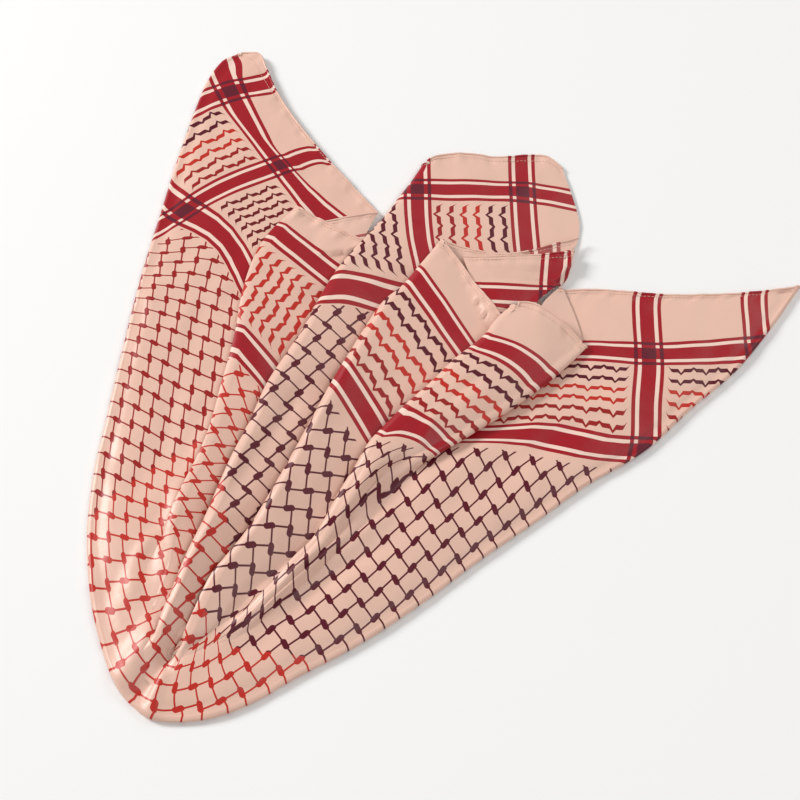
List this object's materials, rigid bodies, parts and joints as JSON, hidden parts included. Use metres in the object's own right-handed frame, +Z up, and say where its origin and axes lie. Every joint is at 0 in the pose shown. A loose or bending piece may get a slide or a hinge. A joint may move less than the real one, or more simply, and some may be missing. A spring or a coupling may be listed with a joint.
{
  "type": "square silk hijab",
  "caption": "Square satin headscarf folded on its diagonal, gathered into fanned pleats and dropped flat, with printed border bands, wave rows and a net pattern.",
  "frame": {"origin": "centre of the bounding box at its bottom face, where the cloth rests on the surface", "axes": "+Z up out of the surface, -Y towards the viewer, +X to the viewer's right"},
  "size_m": [0.5651, 0.6171, 0.0242],
  "materials": {
    "satin_cloth": "satin, soft sheen, printed",
    "satin_return": "satin seen from its duller side",
    "inner_layers": "stacked satin layers"
  },
  "bodies": {
    "root": {"left_panel": "satin_cloth", "left_return": "satin_return", "inner_left_pleat": "satin_cloth", "right_panel": "satin_cloth", "tail_return": "satin_return", "middle_pleat": "satin_cloth", "corner_return": "satin_return", "corner_flap": "satin_cloth", "right_pleat": "satin_cloth", "front_pleat": "satin_cloth", "hidden_layers": "inner_layers"}
  },
  "joints": []
}
